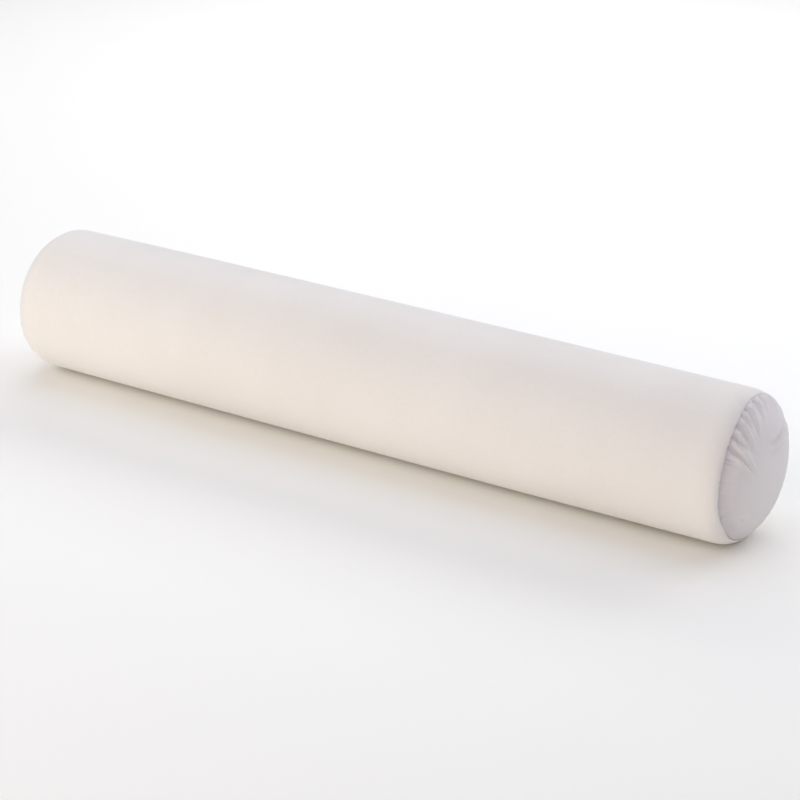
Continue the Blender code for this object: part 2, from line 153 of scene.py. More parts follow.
def tube_along(paths, radius, sides=6, flat=1.0, capped=True):
    """(verts, faces) of round tubes along the paths. A path is a list of (point, side vector)."""
    verts, faces = [], []
    for path in paths:
        base = len(verts)
        count = len(path)
        for k, (point, side) in enumerate(path):
            ahead = path[min(k + 1, count - 1)][0] - path[max(k - 1, 0)][0]
            up = ahead.cross(side).normalized()
            across = up.cross(ahead).normalized()
            size = radius[k] if isinstance(radius, (list, tuple)) else radius
            for i in range(sides):
                a = 2 * math.pi * i / sides
                verts.append(point + across * (size * math.cos(a)) + up * (size * flat * math.sin(a)))
        for k in range(count - 1):
            for i in range(sides):
                j = (i + 1) % sides
                a, b = base + k * sides, base + (k + 1) * sides
                faces.append((a + i, a + j, b + j, b + i))
        if capped:
            faces.append(tuple(base + i for i in reversed(range(sides))))
            faces.append(tuple(base + (count - 1) * sides + i for i in range(sides)))
    return verts, faces


def mesh_from(name, verts, faces):
    mesh = bpy.data.meshes.new(name)
    mesh.from_pydata([tuple(v) for v in verts], [], faces)
    return fix_normals(mesh)


def apply_modifiers(obj):
    """Puts an object's modifiers into its mesh."""
    graph = bpy.context.evaluated_depsgraph_get()
    mesh = bpy.data.meshes.new_from_object(obj.evaluated_get(graph), depsgraph=graph)
    obj.modifiers.clear()
    old = obj.data
    obj.data = mesh
    bpy.data.meshes.remove(old)
    mesh.shade_smooth()


# ---------------------------------------------------------------- materials


class Shader:
    """A Principled material and short ways to add nodes to it."""

    def __init__(self, name, colour, roughness, metallic=0.0, **constants):
        self.material = bpy.data.materials.new(name)
        self.material.use_nodes = True
        self.tree = self.material.node_tree
        self.out = self.tree.nodes["Principled BSDF"]
        self.out.inputs["Base Color"].default_value = (*colour, 1)
        self.out.inputs["Roughness"].default_value = roughness
        self.out.inputs["Metallic"].default_value = metallic
        for key, value in constants.items():
            self.out.inputs[key.replace("_", " ").title()].default_value = value
        coordinates = self.add("TexCoord")
        self.place = coordinates.outputs["Object"]

    def add(self, kind, **settings):
        node = self.tree.nodes.new("ShaderNode" + kind)
        for key, value in settings.items():
            setattr(node, key, value)
        return node

    def put(self, socket, value):
        if isinstance(value, bpy.types.NodeSocket):
            self.tree.links.new(value, socket)
        else:
            socket.default_value = value

    def math(self, operation, *values):
        node = self.add("Math", operation=operation)
        for socket, value in zip(node.inputs, values):
            self.put(socket, value)
        return node.outputs[0]

    def noise(self, scale, detail=2.0, place=None, roughness=0.5):
        node = self.add("TexNoise")
        self.put(node.inputs["Vector"], place or self.place)
        node.inputs["Scale"].default_value = scale
        node.inputs["Detail"].default_value = detail
        node.inputs["Roughness"].default_value = roughness
        return node.outputs["Fac"]

    def split(self):
        node = self.add("SeparateXYZ")
        self.put(node.inputs[0], self.place)
        return node.outputs

    def mix(self, amount, first, second):
        node = self.add("Mix", data_type="RGBA")
        self.put(node.inputs["Factor"], amount)
        for socket, value in ((node.inputs[6], first), (node.inputs[7], second)):
            self.put(socket, value if isinstance(value, bpy.types.NodeSocket) else (*value, 1))
        return node.outputs[2]

    def span(self, value, low, high, to_low=0.0, to_high=1.0):
        node = self.add("MapRange")
        for socket, setting in zip(node.inputs, (value, low, high, to_low, to_high)):
            self.put(socket, setting)
        return node.outputs[0]

    def colour(self, socket):
        self.put(self.out.inputs["Base Color"], socket)

    def roughness(self, socket):
        self.put(self.out.inputs["Roughness"], socket)

    def bump(self, height, strength, distance, under=None):
        node = self.add("Bump")
        node.inputs["Strength"].default_value = strength
        node.inputs["Distance"].default_value = distance
        self.put(node.inputs["Height"], height)
        if under:
            self.put(node.inputs["Normal"], under)
        self.put(self.out.inputs["Normal"], node.outputs[0])
        return node.outputs[0]


def toned(colour, red, green, blue):
    return colour[0] * red, colour[1] * green, colour[2] * blue


def painted_seam_shade(shader, y, z, surface, colour):
    """Painted shade: an end panel's cloth is painted darker beside its seam, and further in at its lower
    front.
    """
    height = shader.math("SUBTRACT", z, AXIS_Z)
    squares = shader.math("ADD", shader.math("MULTIPLY", y, y), shader.math("MULTIPLY", height, height))
    from_axis = shader.math("SQRT", squares)
    front = shader.math("MULTIPLY", y, -0.82 / SEAM_RADIUS)
    lower_front = shader.math("SUBTRACT", front, shader.math("MULTIPLY", height, 0.57 / SEAM_RADIUS))
    # Painted shade in the valley beside the seam.
    seam_shade_mask = shader.math("POWER", shader.span(from_axis, SEAM_RADIUS - 0.011, SEAM_RADIUS - 0.001), 1.6)
    seam_shade_mask = shader.math("MULTIPLY", seam_shade_mask, shader.span(lower_front, -0.4, 0.6, 0.3, 1.0))
    # Painted shade reaching further in over the panel's lower front.
    front_shade_mask = shader.span(from_axis, 0.70 * SEAM_RADIUS, 0.90 * SEAM_RADIUS)
    front_shade_mask = shader.math("MULTIPLY", front_shade_mask, shader.span(lower_front, 0.45, 0.95))
    shade_colour = toned(colour, 0.82, 0.81, 0.835)
    return shader.mix(shader.math("MAXIMUM", seam_shade_mask, front_shade_mask), surface, shade_colour)


def cloth_finish(name, colour, pitch, kind="tube", sheen=0.25, nap=0.5, strength=0.35):
    """A fine knit in rows, with a brushed nap, faint slubs, and a little unevenness in its colour."""
    shader = Shader(name, colour, 0.92, sheen_weight=sheen, sheen_roughness=0.45)
    x, y, z = shader.split()
    if kind == "tube":
        angle = shader.math("ARCTAN2", y, shader.math("SUBTRACT", z, AXIS_Z))
        across, along = shader.math("MULTIPLY", angle, RADIUS), x
        turns = round(2 * math.pi * RADIUS / pitch)
        rate_across = turns / RADIUS
    elif kind == "end":
        across, along = y, z
        rate_across = 2 * math.pi / pitch
    else:
        across, along = shader.math("ADD", y, z), x
        rate_across = 2 * math.pi / pitch
    columns = shader.math("SINE", shader.math("MULTIPLY", across, rate_across))
    wales = shader.math("ABSOLUTE", columns)
    lean = shader.math("MULTIPLY", columns, 0.9)
    steps = shader.math("MULTIPLY", along, 2 * math.pi / (pitch * 0.8))
    rows = shader.math("SINE", shader.math("ADD", steps, lean))
    loops = shader.math("MULTIPLY", shader.math("ADD", rows, 1.4), wales)
    fuzz = shader.noise(2600, 3)
    height = shader.math("ADD", loops, shader.math("MULTIPLY", fuzz, nap * 3))
    shader.bump(height, strength, pitch * 0.16)
    soft = shader.noise(7, 2)
    slub = shader.noise(260, 2)
    amount = shader.math("ADD", shader.math("MULTIPLY", soft, 0.7), shader.math("MULTIPLY", slub, 0.3))
    surface = shader.mix(shader.span(amount, 0.35, 0.65), toned(colour, 0.955, 0.95, 0.945), colour)
    # End panels get painted shade beside their seams.
    if kind == "end":
        surface = painted_seam_shade(shader, y, z, surface, colour)
    elif kind == "tube":
        # Painted shade: the tube's cloth is painted greyer and bluer near the left end's seam, where it
        # rolls in.
        rim_shade_mask = shader.span(x, 0.014 - SEAM_X, 0.001 - SEAM_X)
        surface = shader.mix(rim_shade_mask, surface, toned(colour, 0.86, 0.885, 0.93))
    shader.colour(surface)
    shader.roughness(shader.span(fuzz, 0.3, 0.7, 0.86, 0.97))
    return shader.material


def foam_finish(name, colour, cell, strength):
    """Cut foam: small cells, and a mottled colour."""
    shader = Shader(name, colour, 0.95, sheen_weight=0.1)
    cells = shader.add("TexVoronoi", feature="DISTANCE_TO_EDGE")
    shader.put(cells.inputs["Vector"], shader.place)
    cells.inputs["Scale"].default_value = 1 / cell
    edge = cells.outputs["Distance"]
    shader.bump(shader.math("MINIMUM", edge, 0.25), strength, cell * 0.5)
    darker = toned(colour, 0.82, 0.82, 0.82)
    mottled = shader.mix(shader.noise(30), colour, darker)
    # Painted shade: the grooves between the cells are painted darker.
    shader.colour(shader.mix(shader.span(edge, 0.0, 0.15), darker, mottled))
    return shader.material


def metal_finish(name, colour, roughness):
    """Plated metal with fine rubbed scratches, and duller patches."""
    shader = Shader(name, colour, roughness, 1.0)
    stretch = shader.add("Mapping")
    shader.put(stretch.inputs["Vector"], shader.place)
    stretch.inputs["Scale"].default_value = (0.25, 1, 1)
    scratches = shader.noise(5200, 2, stretch.outputs[0])
    patches = shader.noise(420, 3)
    wear = shader.math("ADD", scratches, patches)
    shader.roughness(shader.span(wear, 0.7, 1.3, roughness - 0.06, roughness + 0.12))
    shader.bump(scratches, 0.05, 0.00001)
    shader.colour(shader.mix(shader.span(patches, 0.4, 0.7), colour, toned(colour, 0.86, 0.86, 0.86)))
    return shader.material


def nylon_finish(name, colour):
    shader = Shader(name, colour, 0.4, coat_weight=0.15, coat_roughness=0.3)
    grain = shader.noise(3000, 2)
    shader.colour(shader.mix(shader.noise(160, 2), colour, toned(colour, 1.05, 1.05, 1.05)))
    shader.roughness(shader.span(grain, 0.3, 0.7, 0.33, 0.5))
    shader.bump(grain, 0.1, 0.00004)
    return shader.material


def woven_finish(name, colour, pitch, sheen=0.2, roughness=0.8):
    """A plain close weave along the roller and across it."""
    shader = Shader(name, colour, roughness, sheen_weight=sheen, sheen_roughness=0.4)
    x, y, z = shader.split()
    angle = shader.math("ARCTAN2", y, shader.math("SUBTRACT", z, AXIS_Z))
    across = shader.math("SINE", shader.math("MULTIPLY", angle, 2 * math.pi * RADIUS / pitch))
    along = shader.math("SINE", shader.math("MULTIPLY", x, 2 * math.pi / pitch))
    weave = shader.math("MULTIPLY", across, along)
    shader.bump(weave, 0.4, pitch * 0.2)
    # Painted shade: the weave's dips are painted darker.
    shader.colour(shader.mix(shader.span(weave, -1, 0.4), toned(colour, 0.92, 0.92, 0.92), colour))
    shader.roughness(shader.span(shader.noise(900, 2), 0.3, 0.7, roughness - 0.06, roughness + 0.08))
    return shader.material


def floor_finish():
    shader = Shader("studio_floor", (0.985, 0.975, 0.93), 0.95)
    shader.colour(shader.mix(shader.noise(2.5, 3), (0.980, 0.970, 0.925), (0.99, 0.98, 0.935)))
    return shader.material


# ---------------------------------------------------------------- camera, lights and floor

CAMERA_AZIMUTH = math.radians(33.165)
CAMERA_ELEVATION = math.radians(22.794)
CAMERA_DISTANCE = 2.896
CAMERA_LENS = 122.36
CAMERA_SHIFT = 0.02466, -0.03016


def make_camera():
    data = bpy.data.cameras.new("camera")
    data.lens = CAMERA_LENS
    data.sensor_width = 36
    data.shift_x, data.shift_y = CAMERA_SHIFT
    data.clip_start, data.clip_end = 0.05, 100
    camera = bpy.data.objects.new("camera", data)
    bpy.context.scene.collection.objects.link(camera)
    a, e = CAMERA_AZIMUTH, CAMERA_ELEVATION
    back = Vector((math.sin(a) * math.cos(e), -math.cos(a) * math.cos(e), math.sin(e)))
    camera.location = Vector((0, 0, AXIS_Z)) + back * CAMERA_DISTANCE
    camera.rotation_mode = "QUATERNION"
    camera.rotation_quaternion = (-back).to_track_quat("-Z", "Y")
    bpy.context.scene.camera = camera


# (name, place, size, power, colour) of the studio's soft boxes, which all face the roller
LIGHTS = (
    ("overhead", (0, 0.3, 2.2), (2.6, 1.6), 13.7, (0.79, 0.84, 1.0)),
    ("back", (0, 1.9, 1.5), (2.8, 1.0), 14.0, (1.0, 1.0, 1.0)),
    ("back_left", (-1.3, 1.6, 1.4), (1.6, 1.0), 9.0, (1.0, 1.0, 1.0)),
    ("back_right", (1.3, 1.6, 1.4), (1.6, 1.0), 10.0, (1.0, 1.0, 1.0)),
    ("front_low", (0, -2.4, 0.28), (3.0, 0.5), 4.7, (1.0, 0.60, 0.28)),
    ("front_low_left", (-1.5, -2.0, 0.28), (2.0, 0.5), 18.9, (1.0, 0.97, 0.88)),
    ("front_high", (0, -2.0, 1.7), (2.4, 1.0), 8.2, (1.0, 0.87, 0.80)),
    ("front_high_left", (-1.3, -1.6, 1.7), (2.0, 1.0), 7.2, (1.0, 0.99, 0.88)),
)
LIGHTS_AIM = Vector((0, 0, 0.08))
FLOOR_HALF = 20
WORLD_COLOUR, WORLD_STRENGTH = (0.875, 0.895, 1.0, 1), 0.398


def area_light(name, place, size, power, colour):
    data = bpy.data.lights.new(name, "AREA")
    data.shape = "RECTANGLE"
    data.size, data.size_y = size
    data.energy = power
    data.color = colour
    light = bpy.data.objects.new(name, data)
    bpy.context.scene.collection.objects.link(light)
    light.location = place
    aim = LIGHTS_AIM - Vector(place)
    light.rotation_mode = "QUATERNION"
    light.rotation_quaternion = aim.to_track_quat("-Z", "Y")
    light.visible_camera = False


def make_studio():
    world = bpy.data.worlds.new("studio")
    bpy.context.scene.world = world
    world.use_nodes = True
    background = world.node_tree.nodes["Background"]
    background.inputs["Color"].default_value = WORLD_COLOUR
    background.inputs["Strength"].default_value = WORLD_STRENGTH
    bpy.context.scene.view_settings.view_transform = "Standard"
    for light in LIGHTS:
        area_light(*light)
    mesh = bpy.data.meshes.new("floor")
    work = bmesh.new()
    bmesh.ops.create_grid(work, x_segments=8, y_segments=8, size=FLOOR_HALF)
    work.to_mesh(mesh)
    work.free()
    mesh.materials.append(floor_finish())
    floor = bpy.data.objects.new("floor", mesh)
    bpy.context.scene.collection.objects.link(floor)


# ---------------------------------------------------------------- the cover's tube panel


def body_radius(x):
    """The tube's outer radius at x, up to where it starts to round in."""
    share = min(1.0, abs(x) / STRAIGHT_X)
    return RADIUS + BARREL_MIDDLE + (BARREL_END - BARREL_MIDDLE) * share * share


EDGE_RADIUS = body_radius(STRAIGHT_X)
FLOOR_CLEAR, FLOOR_BEND = 0.0004, 0.0006


def settled(point):
    """Soft cloth lies flat on the floor, with a tight curve where it leaves it."""
    if point.z < FLOOR_CLEAR:
        point.z = FLOOR_CLEAR * math.exp((point.z - FLOOR_CLEAR) / FLOOR_BEND)
    return point


def lip_gap(x):
    """Half the gap between the zip's lips at x. They close into a plain seam past the zip's ends."""
    return SEAM_GAP + (LIP - SEAM_GAP) * float(1 - smooth(abs(x), LIP_REACH, LIP_REACH + LIP_CLOSE))


# (along, out) from the end seam of the rows that turn in under the end panel
TUCKED = (-0.0001, -0.0004), (-0.0005, -0.0008), (-0.0011, -0.0010), (-0.0018, -0.0011), (-0.0026, -0.0012)


def tube_rows():
    """(x, r, share of the roll-in) of each row of the tube panel, from one end seam to the other. The
    rows of the roll-in are still flat here."""
    half = []
    for x in np.linspace(0, STRAIGHT_X, 70)[:-1]:
        half.append((float(x), body_radius(x), 0.0))
    for turn in np.linspace(0, 1, 24):
        half.append((STRAIGHT_X, EDGE_RADIUS, float(turn)))
    for dx, dr in TUCKED:
        half.append((STRAIGHT_X + dx, EDGE_RADIUS + dr, 1.0))
    return [(-x, r, t) for x, r, t in reversed(half[1:])] + half


def tube_surface(x, s, r, turn):
    """A point on the tube's cloth, with the slight unevenness of cloth drawn over padding."""
    wave = noise.noise(Vector((x * 5.2, s * 14, 1.7))) * 0.00028
    drag = noise.noise(Vector((x * 16, s * 60, 5.1))) * 0.00010
    angle = ZIP_ANGLE + s / RADIUS
    side = 1 if x > 0 else -1
    last = math.pi / 2 * (1 - 0.6 * tautness(angle))
    rolled = turn * last
    x += side * (ROLL_IN - seam_shift(angle)) * math.sin(rolled) / math.sin(last)
    r -= (EDGE_RADIUS - rim_radius(angle)) * (1 - math.cos(rolled)) / (1 - math.cos(last))
    crease = 0.0
    if turn > 0.2:
        crease = pucker(angle, side) * 0.0013 * float(smooth(turn, 0.35, 0.95))
    x -= side * crease * math.sin(rolled)
    return around(x, s, r + wave + drag - crease * math.cos(rolled))


def pucker(angle, side):
    """0 to about 1 round the end seam: narrow creases where the two cloths were eased together."""
    wander = Vector((math.cos(angle), math.sin(angle), 0)) * PUCKER_RATE
    wander.z = 3.0 * side
    crease = math.exp(-((noise.noise(wander) / 0.10) ** 2))
    wander.z += 9.0
    crease *= (0.18 + 0.85 * gather_strength(angle, side)) * (0.75 + noise.noise(wander * 0.4))
    return crease * (1 - 0.8 * tautness(angle))


def around_peak(angle, degrees, spread):
    """1 at an angle round the roller, fading over a spread of degrees."""
    away = math.remainder(angle - math.radians(degrees), 2 * math.pi) / math.radians(spread)
    return math.exp(-away * away)


def gather_strength(angle, side):
    """How gathered an end seam is at an angle from straight up, towards the back. The cloth was eased in
    unevenly: most of the fullness is in the upper front quarter of the right end."""
    peaks = RIGHT_FULLNESS if side > 0 else LEFT_FULLNESS
    return sum(amount * around_peak(angle, degrees, spread) for degrees, spread, amount in peaks)


def rim_radius(angle):
    """The end seam's radius: the tube rolls in less over the top of the back, and further where the
    gathers pull it in."""
    eased = SEAM_RADIUS + RIM_EASE + BACK_EASE * around_peak(angle, *TIGHT_BACK)
    return eased - PULLED_IN * around_peak(angle, *PULLED_IN_AT)


def seam_shift(angle):
    """How far short of its plane the end seam stays: the gathers draw it back at the top."""
    return SEAM_SLANT * around_peak(angle, *SLANT_AT)


def tautness(angle):
    """How tightly the cloth is drawn over the end's corner: most over the top of the back, and below."""
    return min(1.0, around_peak(angle, *TIGHT_BACK) + 0.6 * around_peak(angle, *TIGHT_BELOW))


def lip_columns():
    """(s from the lip's edge, depth) from under the hem, round the lip's fold, and out over the hem."""
    under = [(HEM_WIDTH * k, HEM_DEPTH) for k in (1.0, 0.8, 0.6, 0.4, 0.2)]
    half = HEM_DEPTH / 2
    fold = [
        (half - half * math.sin(a), half + half * math.cos(a))
        for a in (math.radians(d) for d in (0, 30, 60, 90, 120, 150, 180))
    ]
    over = [(k, 0.0) for k in (0.0012, 0.0018, 0.0024, 0.0030, 0.0040, 0.0052, 0.0066, 0.0082, 0.0100)]
    return under + fold + over


def hem_rise(distance):
    """The hem's double cloth stands a little proud, and its stitching pulls it down in two lines."""
    rise = 0.00030 * float(1 - smooth(distance, HEM_WIDTH - 0.003, HEM_WIDTH + 0.002))
    for line in HEM_LINES:
        rise -= 0.00022 * math.exp(-(((distance - line) / 0.0006) ** 2))
    return rise


def make_cover_tube(finish):
    """The tube panel's cloth. Past the zip's ends its hems narrow and thin into a plain seam."""
    around_length = 2 * math.pi * RADIUS
    lip = lip_columns()
    clear = LIP + HEM_CLEAR
    wide = np.linspace(clear, around_length - clear, 236)
    points = []
    for x, r, turn in tube_rows():
        gap = lip_gap(x)
        fade = float(1 - smooth(abs(x), LIP_REACH + 0.012, LIP_REACH + 0.030))
        row = []
        for distance, depth in lip:
            hidden = depth > 0
            if hidden and distance >= HEM_HELD:
                distance *= 0.25 + 0.75 * fade
            lift = 0.0 if hidden else hem_rise(distance) * (0.3 + 0.7 * fade)
            row.append((gap + distance, lift - depth * (0.45 + 0.55 * fade)))
        row += [(float(s), 0.0) for s in wide]
        row += [(around_length - s, height) for s, height in reversed(row[: len(lip)])]
        points.append([settled(tube_surface(x, s, r + height, turn)) for s, height in row])
    mesh = grid_mesh("cover_tube_cloth", points)
    mesh.flip_normals()
    obj = add_object("cover_tube_cloth", mesh, ROLLER, finish, ["cover_tube"])
    thick = obj.modifiers.new("cloth", "SOLIDIFY")
    thick.thickness = CLOTH
    thick.offset = -1
    apply_modifiers(obj)


# ---------------------------------------------------------------- the gathered end panels


def disc_points(cells):
    """Points of a square grid mapped evenly onto the unit disc."""
    line = np.linspace(-1, 1, cells + 1)
    grid = []
    for v in line:
        row = []
        for u in line:
            big = max(abs(u), abs(v))
            if big < 1e-9:
                row.append((0.0, 0.0, 0.0))
                continue
            if abs(u) >= abs(v):
                turn = math.pi / 4 * v / u
                p = (u * math.cos(turn), u * math.sin(turn))
            else:
                turn = math.pi / 4 * u / v
                p = (v * math.sin(turn), v * math.cos(turn))
            row.append((p[0], p[1], big))
        grid.append(row)
    return grid


END_POWER = 3.3
MOST_PUFF = 0.007  # how far a point of an end panel may move as it is blown out


def end_height(share):
    """How far the end's dome stands out past the seam at a share of the seam's radius."""
    return BULGE * (1 - share**END_POWER)


def make_end(name, side, finish, node):
    """An end panel: a disc of cloth cut a little too big for its seam, held at the seam, pressed out
    by the pad, and left to find its own folds."""
    cells = 76
    grid = disc_points(cells)
    points = []
    for row in grid:
        line = []
        for u, v, share in row:
            angle = math.atan2(u, v)
            sunk = 0.0002 * (1 - tautness(angle))
            x = SEAM_X - sunk + end_height(share) - seam_shift(angle) * share**4
            wide = SEAM_RADIUS + (rim_radius(angle) - SEAM_RADIUS) * share * share - sunk
            line.append((side * x, u * wide, AXIS_Z + v * wide))
        points.append(line)
    mesh = grid_mesh(name, points)
    if side < 0:
        mesh.flip_normals()
    work = bpy.data.objects.new(name + "_work", mesh)
    bpy.context.scene.collection.objects.link(work)
    start = np.array([v.co[:] for v in mesh.vertices])
    simulate(work, side, [share for row in grid for u, v, share in row])
    move = np.array([v.co[:] for v in work.data.vertices]) - start
    cloth = work.data.copy()
    bpy.data.objects.remove(work)
    length = np.linalg.norm(move, axis=1, keepdims=True)
    final = start + move * np.minimum(1.0, MOST_PUFF / np.maximum(length, 1e-9))
    for vertex, co in zip(cloth.vertices, final):
        vertex.co = settled(Vector(co))
    cloth.name = name
    obj = add_object(name, cloth, ROLLER, finish, [node])
    finer = obj.modifiers.new("finer", "SUBSURF")
    finer.levels = finer.render_levels = 2
    apply_modifiers(obj)
    gather(obj, side, RIGHT_FOLDS if side > 0 else LEFT_FOLDS, node.replace("cover", "casing"))


# Folds run from the seam towards a point a little in front of the panel's middle.
# (degrees from straight up towards the front, length, depth, half width)
RIGHT_FOLDS = (
    (50, 0.047, 0.0044, 0.0025),
    (41, 0.018, 0.0036, 0.0026),
    (31, 0.031, 0.0044, 0.0027),
    (21, 0.014, 0.0022, 0.0023),
    (13, 0.027, 0.0038, 0.0028),
    (-1, 0.020, 0.0027, 0.0025),
    (-12, 0.014, 0.0016, 0.0022),
    (-27, 0.022, 0.0018, 0.0026),
    (-56, 0.068, 0.0036, 0.0040),
    (-70, 0.016, 0.0010, 0.0026),
    (68, 0.010, 0.0008, 0.0022),
    (111, 0.014, 0.0016, 0.0024),
    (127, 0.010, 0.0010, 0.0026),
    (158, 0.012, 0.0008, 0.0030),
    (-115, 0.018, 0.0010, 0.0030),
    (-150, 0.012, 0.0007, 0.0028),
)
LEFT_FOLDS = (
    (124, 0.032, 0.0022, 0.0026),
    (108, 0.018, 0.0018, 0.0024),
    (92, 0.026, 0.0022, 0.0026),
    (77, 0.014, 0.0014, 0.0024),
    (58, 0.020, 0.0015, 0.0028),
    (20, 0.013, 0.0009, 0.0026),
    (-34, 0.022, 0.0014, 0.0028),
    (-58, 0.016, 0.0012, 0.0026),
    (-97, 0.012, 0.0008, 0.0030),
    (-141, 0.018, 0.0010, 0.0030),
    (164, 0.012, 0.0008, 0.0028),
)
FOLDS_MEET = 0.43 * SEAM_RADIUS, 0.10 * SEAM_RADIUS  # forward of the middle, and above it
# Folds that start between these angles run higher across the panel, and are deepest half way.
BACK_FOLDS = -80, -40
BACK_FOLDS_MEET = 0.43 * SEAM_RADIUS, 0.40 * SEAM_RADIUS
FOLD_PAST = 0.006  # how far a fold runs on beyond the seam


def fold_height(front, up, folds):
    """How far out the gathers put the cloth at a point of the panel: each fold is a valley between two
    soft ridges, and most are deepest near the seam."""
    height = 0.0
    for degrees, length, depth, width in folds:
        turn = math.radians(degrees)
        start = SEAM_RADIUS * math.sin(turn), SEAM_RADIUS * math.cos(turn)
        crossing = BACK_FOLDS[0] < degrees < BACK_FOLDS[1]
        meet = BACK_FOLDS_MEET if crossing else FOLDS_MEET
        aim = meet[0] - start[0], meet[1] - start[1]
        size = math.hypot(*aim)
        aim = aim[0] / size, aim[1] / size
        offset = front - start[0], up - start[1]
        along = offset[0] * aim[0] + offset[1] * aim[1]
        if along > length or along < -FOLD_PAST:
            continue
        bend = 0.0012 * math.sin(along * 90 + degrees)
        across = offset[0] * aim[1] - offset[1] * aim[0] + bend * along / length
        share = max(0.0, along / length)
        wide = width * (1.0 - 0.35 * share)
        valley = math.exp(-((across / wide) ** 2))
        ridges = math.exp(-(((abs(across) - 2.1 * wide) / (1.15 * wide)) ** 2))
        fade = math.sin(math.pi * share) if crossing else (1 - share) ** 1.25
        height += depth * fade * (0.8 * ridges - 0.9 * valley)
    return height


def simulate(obj, side, shares):
    """Runs the cloth: rest lengths a little longer than the shape, the seam pinned, and pressure
    inside."""
    mesh = obj.data
    scene = bpy.context.scene
    pin = obj.vertex_groups.new(name="pin")
    full = obj.vertex_groups.new(name="full")
    for vertex, share in zip(mesh.vertices, shares):
        if share > 0.9995:
            pin.add([vertex.index], 1.0, "REPLACE")
        angle = math.atan2(vertex.co.y, vertex.co.z - AXIS_Z)
        weight = min(1.0, gather_strength(angle, side)) * float(smooth(share, 0.25, 0.85))
        full.add([vertex.index], weight, "REPLACE")
    modifier = obj.modifiers.new("cloth", "CLOTH")
    settings = modifier.settings
    settings.quality = 8
    settings.mass = 0.3
    settings.tension_stiffness = settings.compression_stiffness = 25
    settings.shear_stiffness = 12
    settings.bending_stiffness = 0.12
    settings.tension_damping = settings.compression_damping = 8
    settings.bending_damping = 1.0
    settings.air_damping = 2
    settings.vertex_group_mass = "pin"
    settings.pin_stiffness = 50
    settings.use_pressure = True
    settings.uniform_pressure_force = 3.2
    settings.shrink_min = -0.012
    settings.shrink_max = -0.085
    settings.vertex_group_shrink = "full"
    settings.effector_weights.gravity = 0
    modifier.collision_settings.use_collision = False
    modifier.point_cache.frame_start = 1
    last = 24
    modifier.point_cache.frame_end = last
    for frame_number in range(1, last + 1):
        scene.frame_set(frame_number)
    apply_modifiers(obj)
    scene.frame_set(1)


def gather(obj, side, folds, casing):
    """Presses the folds into the simulated cloth, and slopes its edge down into the seam. The cloth
    stays outside the casing under it."""
    under = BVHTree.FromObject(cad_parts[casing], bpy.context.evaluated_depsgraph_get())
    inwards = Vector((-side, 0, 0))
    for vertex in obj.data.vertices:
        y, z = vertex.co.y, vertex.co.z - AXIS_Z
        angle = math.atan2(y, z)
        share = math.hypot(y, z) / rim_radius(angle)
        height = fold_height(-y, z, folds) * float(1 - smooth(share, 0.955, 0.995))
        slope = SHOULDER * float(smooth(share, 0.76, 0.97)) + VALLEY * float(smooth(share, 0.94, 0.985))
        slope *= 1 - 0.95 * tautness(angle)
        crease = pucker(angle, side) * 0.0015 * float(smooth(share, 0.80, 0.96)) if share > 0.8 else 0.0
        x = abs(vertex.co.x) + height - slope - crease
        hit = under.ray_cast(Vector((side, vertex.co.y, vertex.co.z)), inwards)[0]
        if hit:
            x = max(x, abs(hit.x) + PANEL_CLEAR)
        vertex.co.x = side * x


# ---------------------------------------------------------------- the zip

TAPE_IN, TAPE_OUT = 0.0778, 0.0783
TAPE_FROM, TAPE_WIDTH = 0.0006, 0.0134
COIL_PITCH = 0.00146
COIL_WIRE = 0.00034
COIL_MIDDLE, COIL_REACH = (0.00158, 0.07942), (0.00154, 0.00052)  # (s, r) of a side's loops
ALONG = Vector((1, 0, 0))
OUTWARD = Vector((0, math.sin(ZIP_ANGLE), math.cos(ZIP_ANGLE)))
DOWNWARD = Vector((0, math.cos(ZIP_ANGLE), -math.sin(ZIP_ANGLE)))
SLIDER_LOW, SLIDER_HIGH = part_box("zip_slider")
SLIDER_X = (SLIDER_LOW.x + SLIDER_HIGH.x) / 2
WING_BOTTOM, WING_TOP = 0.0805, 0.0816
PIVOT, BRIDGE_TOP = 0.0824, 0.08365


def flat_place(x, s, r):
    """A point in the zip's own flat frame, for small stiff pieces."""
    return Vector((x, 0, AXIS_Z)) + DOWNWARD * s + OUTWARD * r


def placed(mesh, x=0.0):
    """A mesh drawn as (x, s, r) from the roller's axis, put in its place on the zip."""
    for vertex in mesh.vertices:
        vertex.co = flat_place(vertex.co.x + x, vertex.co.y, vertex.co.z)
    return fix_normals(mesh)


def make_tape(name, side, finish):
    """A woven tape, with a thicker selvedge beside the coil and faint ribs along it."""
    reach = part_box(name)[1].x
    across = [TAPE_FROM + TAPE_WIDTH * k / 22 for k in range(23)]
    points = []
    for x in np.linspace(-reach, reach, 150):
        ripple = noise.noise(Vector((x * 40, side, 2.0))) * 0.00008
        top = []
        for s in across:
            selvedge = 0.00022 * math.exp(-(((s - 0.0041) / 0.0005) ** 2))
            top.append((s, TAPE_OUT + 0.00005 * math.cos(s * 5200) + selvedge + ripple))
        under = [(s, TAPE_IN + ripple) for s in reversed(across)]
        points.append([around(x, side * s, r) for s, r in top + under])
    mesh = grid_mesh(name + "_weave", points, wrap_cols=True)
    close_ends(mesh, len(points), len(points[0]))
    add_object(name + "_weave", mesh, ROLLER, finish, [name])


def close_ends(mesh, rows, cols):
    work = bmesh.new()
    work.from_mesh(mesh)
    work.verts.ensure_lookup_table()
    for row in (0, rows - 1):
        work.faces.new([work.verts[row * cols + k] for k in range(cols)])
    bmesh.ops.recalc_face_normals(work, faces=work.faces)
    work.to_mesh(mesh)
    work.free()
    mesh.shade_smooth()


